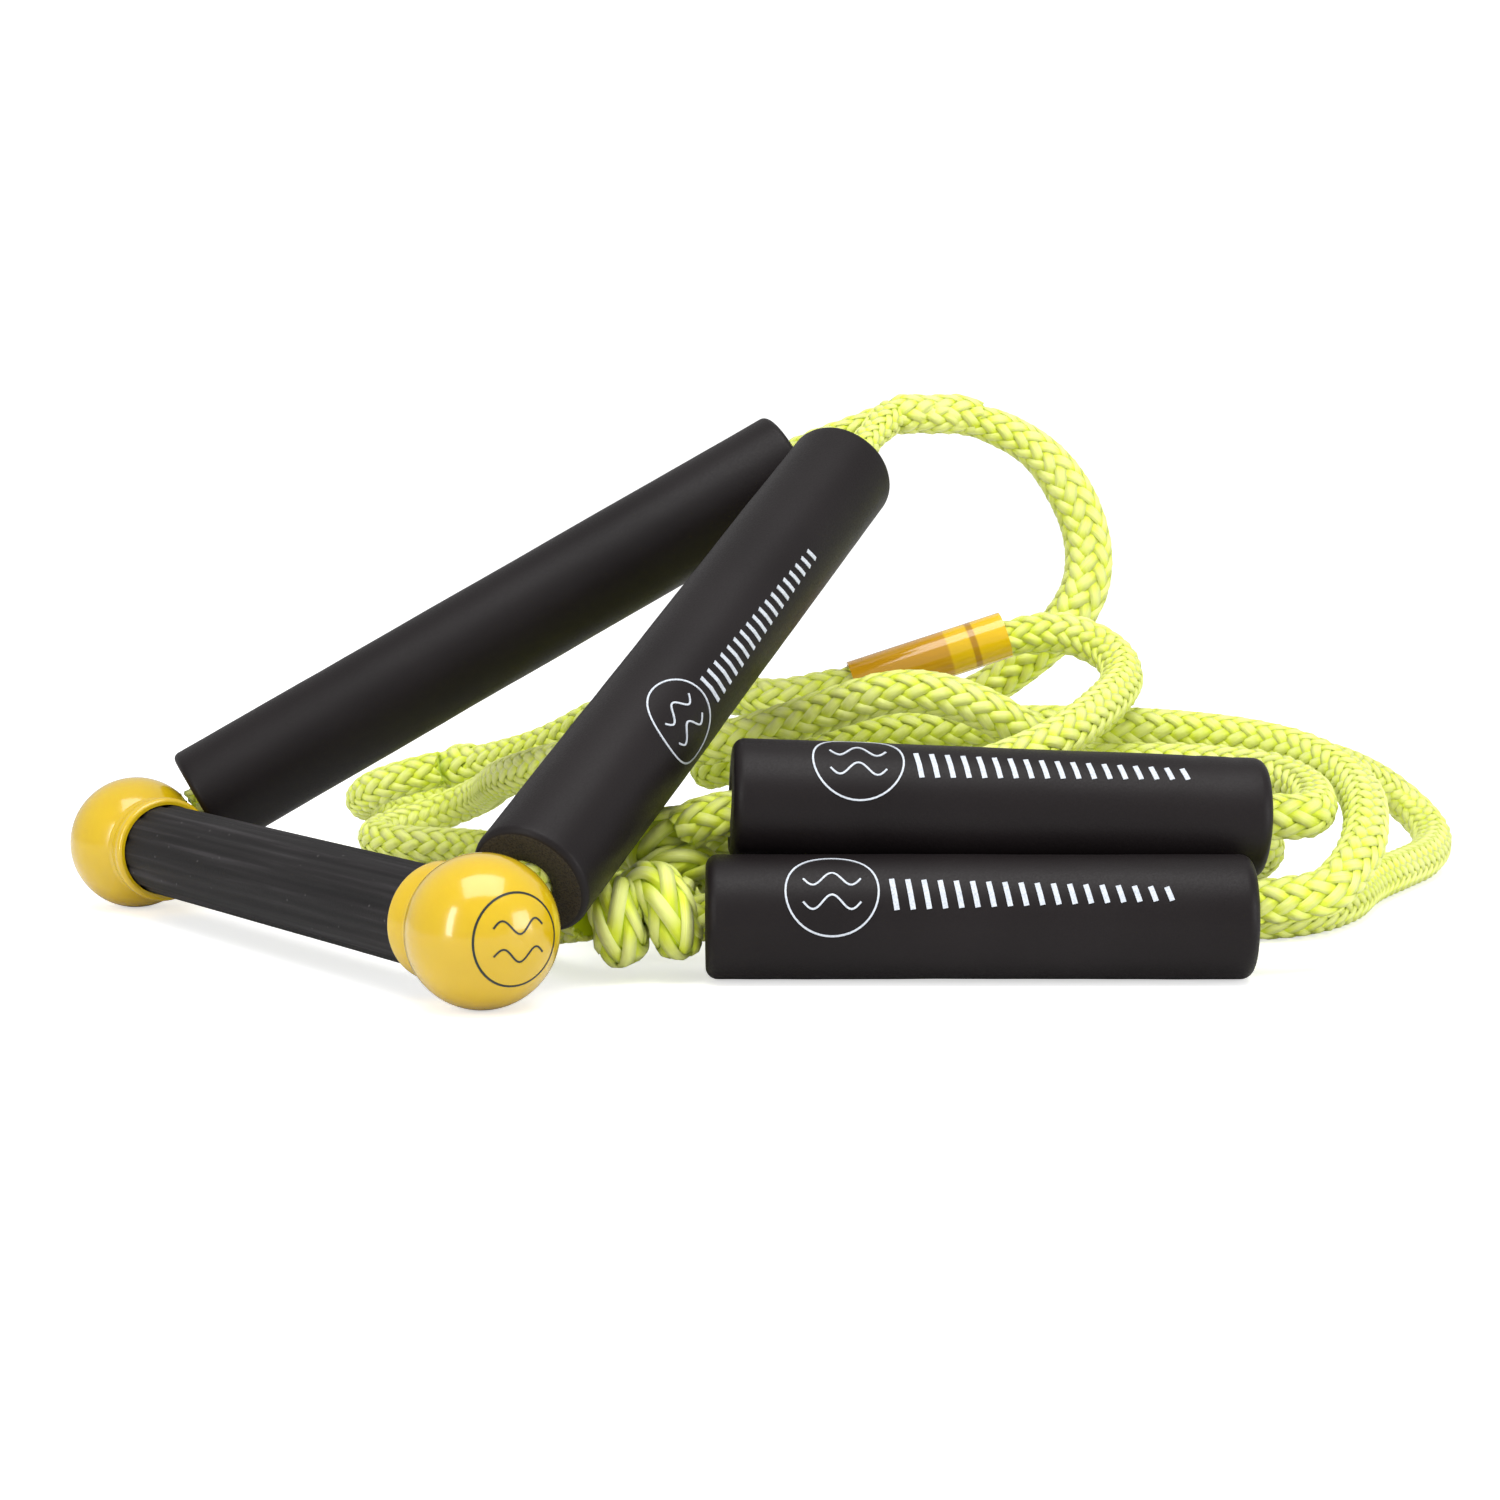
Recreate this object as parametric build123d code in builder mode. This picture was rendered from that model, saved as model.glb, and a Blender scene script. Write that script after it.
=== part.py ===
"""Tow rope handle: a short floating bar on a rope bridle, with its braided tow line piled beside it.

Millimetres, +Z up, standing on z = 0. The bar lies along Y at x = bar_x, and the bridle rises from
it towards +X. The origin is under the middle of the handle and its bridle, without the tow line.
"""
from build123d import *
from math import pi, radians, tan
import os

# ---------------------------------------------------------------- driving dimensions
rope_r = 8.0               # braided rope, 16 mm
rope_bore_r = 8.5          # bore of every float
float_r = 20.5             # all four floats
bridle_float_length = 264.0
line_float_length = 179.0
float_edge = 2.5           # rounding of the floats' cut ends

ball_r = 24.5              # end caps, and so the height of the bar's axis
ball_offset = 128.0        # from the middle of the bar to a cap's centre
bar_x = -148.0

tube_r = 11.1              # aluminium bar tube
tube_wall = 1.8
tube_end = 114.4
grip_r = 16.5
grip_end = 106.5
grip_flutes = 10
grip_flute_r = 4.0
grip_flute_depth = 0.7

pocket_r = 14.5            # hollow in each cap, where the rope turns
cap_hole_r = 8.4
core_turn_r = 8.5          # tightest turn of the rope, inside the caps

splice_r = 10.3
crotch_r = 12.0
knot_r = 14.5
knot_lobe = 7.5            # half the distance between a knot's two lobes
sleeve_wall = 1.1
sleeve_start, sleeve_end = 13.8, 75.8   # along the tow line's straight run

near_ball = Vector(bar_x, -ball_offset, ball_r)
far_ball = Vector(bar_x, ball_offset, ball_r)
near_float_low = Vector(-124.3, -116.8, 36.5)
far_float_low = Vector(-124.1, 123.3, 38.3)
near_axis = Vector(0.773, 0.407, 0.476).normalized()
far_axis = Vector(0.807, -0.336, 0.486).normalized()
crotch = Vector(126, 20, 187)            # where the two legs meet

upper_float_inset = 7.0                  # from the route's bend to the float's left end
lower_float_inset = 15.8                 # from the route's bend to the float's right end
lower_knot_inset = 14.9                  # from the lower float's end to the knot's nearer lobe

lower_knot_axis = Vector(13, -9.3, 2.2)
upper_knot_centre, upper_knot_axis = Vector(-51.0, -88.5, 35.0), Vector(0.1, 0.6, 0.8)

# ---------------------------------------------------------------- the tow line's route
# One line in three stretches, from the apex to the boat end, knotted at the two line floats.
apex_to_lower_knot = [
    (126, 20, 187), (153, 11, 188), (181, -3, 174), (194, -13, 153), (199, -18, 131), (194, -19, 110),
    (179, -8, 90), (161, 9, 71), (125, 35, 59), (94, 49, 51), (61, 47, 47), (42, 25, 49), (48, -2, 56),
    (74, -24, 64), (112, -50, 68), (149, -77, 68), (181, -105, 66), (194, -139, 62), (184, -176, 55),
    (159, -208, 47), (130, -231, 35), (98, -236, 20.5), (-67, -119, 20.5)]
lower_to_upper_knot = [
    (-93, -101, 20.5), (-96, -73, 15), (-81, -35, 9), (-56, 7, 8), (-30, 49, 8), (-1, 88, 8), (16, 122, 8),
    (7, 151, 8), (-10, 170, 8), (-12, 195, 8), (5, 213, 9), (30, 209, 15), (36, 180, 26), (6, 119, 40),
    (10, 65, 53), (14, 15, 59), (25, -24, 66), (43, -52, 78), (60, -74, 87), (82, -89, 81),
    (102, -98, 67), (123, -117, 50), (144, -136, 42), (171, -140, 32), (193, -126, 21), (195, -101, 12),
    (177, -76, 8), (138, -48, 8), (91, -24, 8), (46, -5, 8), (4, 1, 9), (-33, -10, 18), (-56, -35, 29),
    (-62, -63, 37), (-56, -82, 38)]
upper_knot_to_eye = [
    (-51, -98, 46), (-48, -107, 57), (117, -212, 48.6), (138, -204, 49), (159, -179, 53), (169, -150, 56),
    (157, -118, 57), (121, -86, 56), (78, -56, 50), (41, -29, 41), (14, -4, 31), (10, 26, 24),
    (32, 46, 22), (66, 44, 25), (105, 26, 35), (150, -4, 46), (196, -32, 54), (243, -56, 54),
    (285, -62, 46), (322, -53, 36), (343, -54, 24), (339, -75, 13), (310, -99, 8), (272, -118, 8),
    (231, -138, 8), (194, -166, 8), (152, -180, 8), (119, -157, 8), (92, -116, 8), (63, -77, 8),
    (29, -46, 8), (-1, -30, 13), (-28, -35, 22), (-39, -59, 33), (-19, -82, 42), (28, -107, 51),
    (80, -128, 67), (125, -109, 79), (157, -86, 86), (171, -60, 96), (158, -34, 104), (79, 15, 74),
    (76, 52, 74), (75, 84, 74), (73, 106, 71), (63, 130, 62), (54, 162, 46), (47, 191, 38), (43, 214, 33)]
eye_loop = [
    (33, 215, 33), (20, 226, 29), (14, 245, 22), (22, 268, 14), (42, 281, 9), (62, 272, 11),
    (67, 252, 17), (62, 232, 25), (50, 217, 32)]

# Each node runs from one cut to the next: 7.5 is halfway from point 7 to point 8.
rope_nodes = {
    "rope_arch": (apex_to_lower_knot, 1.486, 7.5),
    "rope_right_bend": (apex_to_lower_knot, 7.5, 21.085),
    "rope_in_lower_float": (apex_to_lower_knot, 21.085, 22),
    "rope_left_bight": (lower_to_upper_knot, 0, 13.5),
    "rope_front_pass": (lower_to_upper_knot, 13.5, 22.5),
    "rope_back_pass": (lower_to_upper_knot, 22.5, 34),
    "rope_in_upper_float": (upper_knot_to_eye, 0, 1.945),
    "rope_upper_bend": (upper_knot_to_eye, 1.945, 13.5),
    "rope_outer_loop": (upper_knot_to_eye, 13.5, 25.5),
    "rope_hidden_turn": (upper_knot_to_eye, 25.5, 35.5),
    "rope_sleeve_loop": (upper_knot_to_eye, 35.5, 40.16),
    "rope_in_sleeve": (upper_knot_to_eye, 40.16, 40.8),
    "rope_tail": (upper_knot_to_eye, 40.8, 47.5),
    "tow_eye": (eye_loop, 0, 8),
}

os.makedirs("parts", exist_ok=True)


def save(part, name):
    part.label = name
    export_step(part, f"parts/{name}.step")


def bend_radius(before, point, after):
    """Radius of the arc at a point: its tangents take 0.45 of the shorter run."""
    arriving, leaving = point - before, after - point
    half_turn = radians(arriving.get_angle(leaving)) / 2
    return 0.45 * min(arriving.length, leaving.length) / tan(half_turn)


def along(points, cut):
    """The point of the route at a cut, such as 7.5."""
    index = min(int(cut), len(points) - 2)
    return points[index] + (points[index + 1] - points[index]) * (cut - index)


def tube(name, points, radii, radius=rope_r):
    """A plain round tube along straight runs joined by tangent arcs."""
    with BuildPart() as piece:
        with BuildLine() as path:
            if radii:
                FilletPolyline(*points, radius=radii)
            else:
                Line(*points)
        centreline = path.wire()
        with BuildSketch(Plane(origin=points[0], z_dir=centreline % 0)):
            Circle(radius)
        sweep(path=centreline)
    expected = pi * radius**2 * centreline.length
    print(f"{name}: {centreline.length:.0f} mm long, radii {[round(r) for r in radii]},",
          f"volume {piece.part.volume / expected:.4f} of section x length")
    return piece.part


def route_tube(name, route, start, end, radius=rope_r):
    """The stretch of a route between two cuts, with the radii of the whole route."""
    points = [Vector(*point) for point in route]
    inside = [index for index in range(1, len(points) - 1) if start < index < end]
    radii = [bend_radius(points[i - 1], points[i], points[i + 1]) for i in inside]
    stretch = [along(points, start)] + [points[i] for i in inside] + [along(points, end)]
    return tube(name, stretch, radii, radius)


# ---------------------------------------------------------------- the handle
def make_cap(name, ball, side, float_low):
    """A ball-shaped cap with a waist and a flange round the grip's end, turned about the bar."""
    profile = Plane(origin=ball, x_dir=(-1, 0, 0), z_dir=(0, 0, -side))
    with BuildPart() as cap:
        with BuildSketch(profile):
            with BuildLine():
                Line((0, pocket_r), (0, 22.8))
                ThreePointArc((0, 22.8), (17.6, 16.4), (ball_r, 0))
                ThreePointArc((ball_r, 0), (23.1, -8), (18.4, -15.8))
                ThreePointArc((18.4, -15.8), (17.9, -17.6), (18.2, -19.6))
                ThreePointArc((18.2, -19.6), (18.9, -22.3), (19.2, -25))
                ThreePointArc((19.2, -25), (18.9, -26.3), (17.9, -27))
                Polyline((17.9, -27), (16.8, -27), (16.8, -21.5), (tube_r, -21.5), (tube_r, -9.33))
                ThreePointArc((tube_r, -9.33), (pocket_r, 0), (0, pocket_r))
            make_face()
        revolve(axis=Axis(ball, (0, 1, 0)))
        with BuildSketch(Plane(origin=ball, z_dir=float_low - ball)):
            Circle(cap_hole_r)
        extrude(amount=ball_r + 5, mode=Mode.SUBTRACT)
    save(cap.part, name)


def make_bar_tube():
    with BuildPart() as bar_tube:
        with BuildSketch(Plane(origin=(bar_x, -tube_end, ball_r), z_dir=(0, 1, 0))):
            Circle(tube_r)
            Circle(tube_r - tube_wall, mode=Mode.SUBTRACT)
        extrude(amount=2 * tube_end)
    save(bar_tube.part, "bar_tube")


def make_grip():
    flute_centre = grip_r + grip_flute_r - grip_flute_depth
    with BuildPart() as grip:
        with BuildSketch(Plane(origin=(bar_x, -grip_end, ball_r), z_dir=(0, 1, 0))):
            Circle(grip_r)
            with PolarLocations(flute_centre, grip_flutes):
                Circle(grip_flute_r, mode=Mode.SUBTRACT)
            Circle(tube_r, mode=Mode.SUBTRACT)
        extrude(amount=2 * grip_end)
    save(grip.part, "grip")


def make_rope_in_bar():
    """The bridle rope's run through the bar, turning in each cap's pocket towards its leg."""
    near_exit = near_ball + (near_float_low - near_ball).normalized() * 22.5
    far_exit = far_ball + (far_float_low - far_ball).normalized() * 22.5
    points = [near_exit, near_ball, far_ball, far_exit]
    save(tube("rope_in_bar", points, [core_turn_r, core_turn_r]), "rope_in_bar")


def make_float(name, low, axis, length):
    with BuildPart() as body:
        with BuildSketch(Plane(origin=low, z_dir=axis)):
            Circle(float_r)
            Circle(rope_bore_r, mode=Mode.SUBTRACT)
        extrude(amount=length)
        ends = body.edges().filter_by(GeomType.CIRCLE).filter_by(lambda e: e.radius > float_r - 1)
        fillet(ends, float_edge)
    save(body.part, name)


def make_leg(name, ball, low, axis, straight_on):
    """A bridle leg: out of its cap, straight through its float, and on to the crotch."""
    start = ball + (low - ball).normalized() * (ball_r + 0.4)
    after_float = low + axis * (bridle_float_length + straight_on)
    points = [start, low, after_float, crotch]
    radii = [bend_radius(start, low, after_float), 40]
    save(tube(name, points, radii), name)


def make_bridle_splice():
    """The lumpy splice where the two legs become the tow line."""
    with BuildPart() as splice:
        with Locations(Plane(origin=crotch, x_dir=(-1, 0, 0)).location):
            Sphere(crotch_r)
        add(route_tube("bridle_splice", apex_to_lower_knot, 0, 1.486, splice_r))
    save(splice.part, "bridle_splice")


# ---------------------------------------------------------------- the tow line and what is on it
def make_knot(name, centre, axis):
    """A stopper knot, as two round lobes side by side."""
    with BuildPart() as knot:
        with Locations(Plane(origin=centre, z_dir=axis).location):
            with Locations((0, 0, -knot_lobe), (0, 0, knot_lobe)):
                Sphere(knot_r)
    save(knot.part, name)


def make_line_floats_and_knots():
    right, left = (Vector(*point) for point in apex_to_lower_knot[-2:])
    lower_axis = (right - left).normalized()
    lower_left = right - lower_axis * (line_float_length + lower_float_inset)
    make_float("line_float_lower", lower_left, lower_axis, line_float_length)
    lobe = lower_left - lower_axis * lower_knot_inset
    make_knot("knot_lower", lobe - lower_knot_axis.normalized() * knot_lobe, lower_knot_axis)
    left, right = (Vector(*point) for point in upper_knot_to_eye[1:3])
    upper_axis = (right - left).normalized()
    make_float("line_float_upper", left + upper_axis * upper_float_inset, upper_axis, line_float_length)
    make_knot("knot_upper", upper_knot_centre, upper_knot_axis)


def make_sleeve():
    """The take-off sleeve on the line's straight run."""
    start, end = (Vector(*point) for point in upper_knot_to_eye[40:42])
    run = (end - start).normalized()
    with BuildPart() as sleeve:
        with BuildSketch(Plane(origin=start + run * sleeve_start, z_dir=run)):
            Circle(rope_r + sleeve_wall)
            Circle(rope_r, mode=Mode.SUBTRACT)
        extrude(amount=sleeve_end - sleeve_start)
    save(sleeve.part, "take_off_sleeve")


def make_eye_splice():
    """The splice that closes the tow eye, over the line's last half run."""
    last, end = (Vector(*point) for point in upper_knot_to_eye[-2:])
    run = (end - last).normalized()
    points = [(last + end) * 0.5, end + run * 6]
    save(tube("eye_splice", points, [], splice_r), "eye_splice")


make_cap("cap_near", near_ball, -1, near_float_low)
make_cap("cap_far", far_ball, 1, far_float_low)
make_bar_tube()
make_grip()
make_rope_in_bar()
make_float("bridle_float_near", near_float_low, near_axis, bridle_float_length)
make_float("bridle_float_far", far_float_low, far_axis, bridle_float_length)
make_leg("bridle_leg_near", near_ball, near_float_low, near_axis, 28)
make_leg("bridle_leg_far", far_ball, far_float_low, far_axis, 22)
make_bridle_splice()
make_line_floats_and_knots()
make_sleeve()
make_eye_splice()
for node, (route, start, end) in rope_nodes.items():
    save(route_tube(node, route, start, end), node)
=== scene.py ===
import math

import bmesh
import bpy
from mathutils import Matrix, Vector, noise
from mathutils.bvhtree import BVHTree


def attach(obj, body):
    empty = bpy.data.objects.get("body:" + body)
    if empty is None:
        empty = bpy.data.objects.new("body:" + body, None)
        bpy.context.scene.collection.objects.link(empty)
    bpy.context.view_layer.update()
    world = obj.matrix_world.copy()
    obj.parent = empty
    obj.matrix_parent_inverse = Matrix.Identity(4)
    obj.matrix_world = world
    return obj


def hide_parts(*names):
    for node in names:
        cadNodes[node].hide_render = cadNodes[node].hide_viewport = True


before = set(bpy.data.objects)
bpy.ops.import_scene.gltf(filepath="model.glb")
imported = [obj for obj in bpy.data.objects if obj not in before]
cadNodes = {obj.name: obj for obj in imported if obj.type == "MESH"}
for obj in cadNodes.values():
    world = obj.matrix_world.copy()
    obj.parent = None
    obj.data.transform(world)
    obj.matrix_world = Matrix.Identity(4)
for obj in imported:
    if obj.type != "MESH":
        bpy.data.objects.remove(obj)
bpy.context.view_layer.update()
print("frame loaded:", len(cadNodes), "nodes")

# ---- camera
cameraSetup = {
    "place": (-0.6297, -0.9500, 0.179),
    "heading": (0.5788, 0.8155),
    "downTilt": 5.9,
    "lens": 74.4,
}


def makeCamera(setup):
    data = bpy.data.cameras.new("camera")
    data.lens = setup["lens"]
    data.sensor_width = 36
    data.clip_end = 50
    camera = bpy.data.objects.new("camera", data)
    bpy.context.collection.objects.link(camera)
    tilt = math.radians(setup["downTilt"])
    hx, hy = setup["heading"]
    looking = Vector((hx * math.cos(tilt), hy * math.cos(tilt), -math.sin(tilt)))
    camera.location = setup["place"]
    camera.rotation_euler = looking.to_track_quat("-Z", "Y").to_euler()
    bpy.context.scene.camera = camera


makeCamera(cameraSetup)

# ---- routes, in metres, the same points as the part's
crotch = (0.126, 0.020, 0.184)
apexToLowerKnot = [
    (.126, .020, .184), (.153, .011, .186), (.181, -.003, .174), (.194, -.013, .153), (.199, -.018, .131),
    (.194, -.019, .110), (.179, -.008, .090), (.161, .009, .071), (.125, .035, .059), (.094, .049, .051),
    (.061, .047, .047), (.042, .025, .049), (.048, -.002, .056), (.074, -.024, .064), (.112, -.050, .068),
    (.149, -.077, .068), (.181, -.105, .066), (.194, -.139, .062), (.184, -.176, .055), (.159, -.208, .047),
    (.130, -.231, .035), (.098, -.236, .0205), (-.067, -.119, .0205)]
lowerToUpperKnot = [
    (-.093, -.101, .0205), (-.096, -.073, .015), (-.081, -.035, .009), (-.056, .007, .008),
    (-.030, .049, .008), (-.001, .088, .008), (.016, .122, .008), (.007, .151, .008), (-.010, .170, .008),
    (-.012, .195, .008), (.005, .213, .009), (.030, .209, .015), (.036, .180, .026), (.006, .119, .040),
    (.010, .065, .053), (.014, .015, .059), (.025, -.024, .066), (.043, -.052, .078), (.060, -.074, .087),
    (.082, -.089, .081), (.102, -.098, .067), (.123, -.117, .050), (.144, -.136, .042), (.171, -.140, .032),
    (.193, -.126, .021), (.195, -.101, .012), (.177, -.076, .008), (.138, -.048, .008), (.091, -.024, .008),
    (.046, -.005, .008), (.004, .001, .009), (-.033, -.010, .018), (-.056, -.035, .029),
    (-.062, -.063, .037), (-.056, -.082, .038)]
upperKnotToEye = [
    (-.051, -.098, .046), (-.048, -.107, .057), (.117, -.212, .0486), (.138, -.204, .049),
    (.159, -.179, .053), (.169, -.150, .056), (.157, -.118, .057), (.121, -.086, .056), (.078, -.056, .050),
    (.041, -.029, .041), (.014, -.004, .031), (.010, .026, .024), (.032, .046, .022), (.066, .044, .025),
    (.105, .026, .035), (.150, -.004, .046), (.196, -.032, .054), (.243, -.056, .054), (.285, -.062, .046),
    (.322, -.053, .036), (.343, -.054, .024), (.339, -.075, .013), (.310, -.099, .008),
    (.272, -.118, .008), (.231, -.138, .008), (.194, -.166, .008), (.152, -.180, .008),
    (.119, -.157, .008), (.092, -.116, .008), (.063, -.077, .008), (.029, -.046, .008),
    (-.001, -.030, .013), (-.028, -.035, .022), (-.039, -.059, .033), (-.019, -.082, .042),
    (.028, -.107, .051), (.080, -.128, .067), (.125, -.109, .079), (.157, -.086, .086), (.171, -.060, .096),
    (.158, -.034, .104), (.079, .015, .074), (.076, .052, .074), (.075, .084, .074), (.073, .106, .071),
    (.063, .130, .062), (.054, .162, .046), (.047, .191, .038), (.043, .214, .033)]
eyeLoop = [
    (.033, .215, .033), (.020, .226, .029), (.014, .245, .022), (.022, .268, .014), (.042, .281, .009),
    (.062, .272, .011), (.067, .252, .017), (.062, .232, .025), (.050, .217, .032)]
nearBall = Vector((-.148, -.128, .0245))
farBall = Vector((-.148, .128, .0245))
nearLow, nearAxis = Vector((-.1243, -.1168, .0365)), Vector((.773, .407, .476)).normalized()
farLow, farAxis = Vector((-.1241, .1233, .0383)), Vector((.807, -.336, .486)).normalized()
bridleFloatLength, lineFloatLength = .264, .179
floatRadius, floatBore = .0205, .0085
barCentre = (-.148, 0, .0245)
sleeveRun = (Vector(upperKnotToEye[40]), Vector(upperKnotToEye[41]))   # the straight run it sits on
sleeveSpan = (.0138, .0758)             # where it begins and ends along that run


def smoothPath(points, steps=14):
    # points of the smooth line that a third-order spline draws through a route
    curve = bpy.data.curves.new("route", "CURVE")
    curve.dimensions = "3D"
    spline = curve.splines.new("NURBS")
    spline.points.add(len(points) - 1)
    for point, place in zip(spline.points, points):
        point.co = (*place, 1)
    spline.order_u = 3
    spline.use_endpoint_u = True
    curve.resolution_u = steps
    holder = bpy.data.objects.new("route", curve)
    line = bpy.data.meshes.new_from_object(holder)
    path = [v.co.copy() for v in line.vertices]
    bpy.data.objects.remove(holder)
    bpy.data.curves.remove(curve)
    bpy.data.meshes.remove(line)
    return path


# ---- shader helpers
def linkNodes(tree, *pairs):
    for source, target in pairs:
        tree.links.new(source, target)


def addNode(tree, kind, **values):
    # a node with its settings, and its inputs by name or number
    made = tree.nodes.new(kind)
    for name, value in values.items():
        if name != "inputs":
            setattr(made, name, value)
    for name, value in values.get("inputs", {}).items():
        if hasattr(value, "is_output"):
            tree.links.new(value, made.inputs[name])
        else:
            made.inputs[name].default_value = value
    return made


def addRamp(tree, source, stops):
    ramp = addNode(tree, "ShaderNodeValToRGB", inputs={0: source})
    elements = ramp.color_ramp.elements
    while len(elements) < len(stops):
        elements.new(0.5)
    for element, (position, colour) in zip(elements, stops):
        element.position = position
        element.color = (*colour, 1)
    return ramp.outputs["Color"]


def newMaterial(name, **shaderValues):
    material = bpy.data.materials.new(name)
    material.use_nodes = True
    tree = material.node_tree
    shader = tree.nodes["Principled BSDF"]
    for key, value in shaderValues.items():
        shader.inputs[key].default_value = value
    return material, tree, shader


def makeGrainGroup():
    # fine grain with blotches: a mask for colour and a normal for the surface
    group = bpy.data.node_groups.new("surfaceGrain", "ShaderNodeTree")
    face = group.interface
    for name, kind, start in (("Scale", "NodeSocketFloat", 900), ("Blotch scale", "NodeSocketFloat", 25),
                              ("Strength", "NodeSocketFloat", 0.2), ("Depth", "NodeSocketFloat", 0.0002)):
        face.new_socket(name=name, in_out="INPUT", socket_type=kind).default_value = start
    face.new_socket(name="Stretch", in_out="INPUT", socket_type="NodeSocketVector").default_value = (1, 1, 1)
    face.new_socket(name="Mask", in_out="OUTPUT", socket_type="NodeSocketFloat")
    face.new_socket(name="Blotch", in_out="OUTPUT", socket_type="NodeSocketFloat")
    face.new_socket(name="Normal", in_out="OUTPUT", socket_type="NodeSocketVector")
    inside = group.nodes.new("NodeGroupInput")
    outside = group.nodes.new("NodeGroupOutput")
    place = addNode(group, "ShaderNodeTexCoord")
    stretched = addNode(group, "ShaderNodeVectorMath", operation="MULTIPLY",
                        inputs={0: place.outputs["Object"], 1: inside.outputs["Stretch"]})
    fine = addNode(group, "ShaderNodeTexNoise", inputs={
        "Vector": stretched.outputs[0], "Scale": inside.outputs["Scale"], "Detail": 4.0})
    blotch = addNode(group, "ShaderNodeTexNoise", inputs={
        "Vector": place.outputs["Object"], "Scale": inside.outputs["Blotch scale"], "Detail": 3.0})
    bump = addNode(group, "ShaderNodeBump", inputs={
        "Strength": inside.outputs["Strength"], "Distance": inside.outputs["Depth"],
        "Height": fine.outputs["Fac"]})
    linkNodes(group, (fine.outputs["Fac"], outside.inputs["Mask"]),
              (blotch.outputs["Fac"], outside.inputs["Blotch"]),
              (bump.outputs["Normal"], outside.inputs["Normal"]))
    return group


grainGroup = makeGrainGroup()


def addGrain(tree, scale, blotchScale, strength, depth, stretch=(1, 1, 1)):
    grain = tree.nodes.new("ShaderNodeGroup")
    grain.node_tree = grainGroup
    for name, value in (("Scale", scale), ("Blotch scale", blotchScale), ("Strength", strength),
                        ("Depth", depth), ("Stretch", stretch)):
        grain.inputs[name].default_value = value
    return grain


# ---- materials
def makeRopeMaterial(name, deep, mid, paintedCrownHighlight):
    # braided fibre: painted shade in the gaps where strands pass under and painted highlight on their crowns,
    # with fibre and blotch tone over both
    material, tree, shader = newMaterial(name, Roughness=0.45)
    shader.inputs["Specular IOR Level"].default_value = 0.6
    shader.inputs["Sheen Weight"].default_value = 0.25
    shader.inputs["Sheen Roughness"].default_value = 0.4
    over = addNode(tree, "ShaderNodeAttribute", attribute_name="over")
    across = addNode(tree, "ShaderNodeAttribute", attribute_name="across")
    along = addNode(tree, "ShaderNodeAttribute", attribute_name="along")
    grain = addGrain(tree, 700, 30, 0.3, 0.0003)
    fibrePlace = addNode(tree, "ShaderNodeCombineXYZ", inputs={
        "X": across.outputs["Fac"], "Y": along.outputs["Fac"]})
    fibres = addNode(tree, "ShaderNodeTexNoise", noise_dimensions="2D", inputs={
        "Vector": addNode(tree, "ShaderNodeVectorMath", operation="MULTIPLY",
                          inputs={0: fibrePlace.outputs[0], 1: (42, 55, 1)}).outputs[0],
        "Scale": 1.0, "Detail": 3.0, "Roughness": 0.6})
    # painted highlight and shade: strands are paler where they pass over and darker where they pass under
    crownHighlightShare = addNode(tree, "ShaderNodeMath", operation="MULTIPLY", inputs={0: over.outputs["Fac"], 1: 0.62})
    height = addNode(tree, "ShaderNodeMath", operation="MULTIPLY_ADD", inputs={
        0: fibres.outputs["Fac"], 1: 0.3, 2: crownHighlightShare.outputs[0]})
    shade = addNode(tree, "ShaderNodeMath", operation="MULTIPLY_ADD", inputs={
        0: grain.outputs["Blotch"], 1: 0.4, 2: height.outputs[0]})
    colour = addRamp(tree, shade.outputs[0], ((0.38, deep), (0.72, mid), (0.98, paintedCrownHighlight)))
    tree.links.new(colour, shader.inputs["Base Color"])
    bump = addNode(tree, "ShaderNodeBump", inputs={
        "Strength": 0.5, "Distance": 0.0006, "Height": fibres.outputs["Fac"]})
    tree.links.new(bump.outputs["Normal"], shader.inputs["Normal"])
    return material


def makeFoamMaterial(name, dark, light):
    # satin closed-cell foam
    material, tree, shader = newMaterial(name, Roughness=0.46)
    shader.inputs["Specular IOR Level"].default_value = 0.2
    grain = addGrain(tree, 1600, 18, 0.18, 0.00025)
    colour = addRamp(tree, grain.outputs["Blotch"], ((0.3, dark), (0.75, light)))
    rough = addNode(tree, "ShaderNodeMapRange", inputs={
        "Value": grain.outputs["Mask"], "From Min": 0.3, "From Max": 0.7, "To Min": 0.4, "To Max": 0.56})
    linkNodes(tree, (colour, shader.inputs["Base Color"]), (rough.outputs[0], shader.inputs["Roughness"]),
              (grain.outputs["Normal"], shader.inputs["Normal"]))
    return material


def makeCutFoamMaterial():
    # the floats' cut ends, matte and open-celled
    material, tree, shader = newMaterial("cutFoam", Roughness=0.9)
    place = addNode(tree, "ShaderNodeTexCoord")
    cells = addNode(tree, "ShaderNodeTexVoronoi", inputs={"Vector": place.outputs["Object"], "Scale": 1400.0})
    colour = addRamp(tree, cells.outputs["Distance"],
                     ((0.1, (0.004, 0.003, 0.002)), (0.6, (0.03, 0.024, 0.016))))
    bump = addNode(tree, "ShaderNodeBump", inputs={
        "Strength": 0.6, "Distance": 0.0004, "Height": cells.outputs["Distance"]})
    linkNodes(tree, (colour, shader.inputs["Base Color"]), (bump.outputs["Normal"], shader.inputs["Normal"]))
    return material


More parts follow.
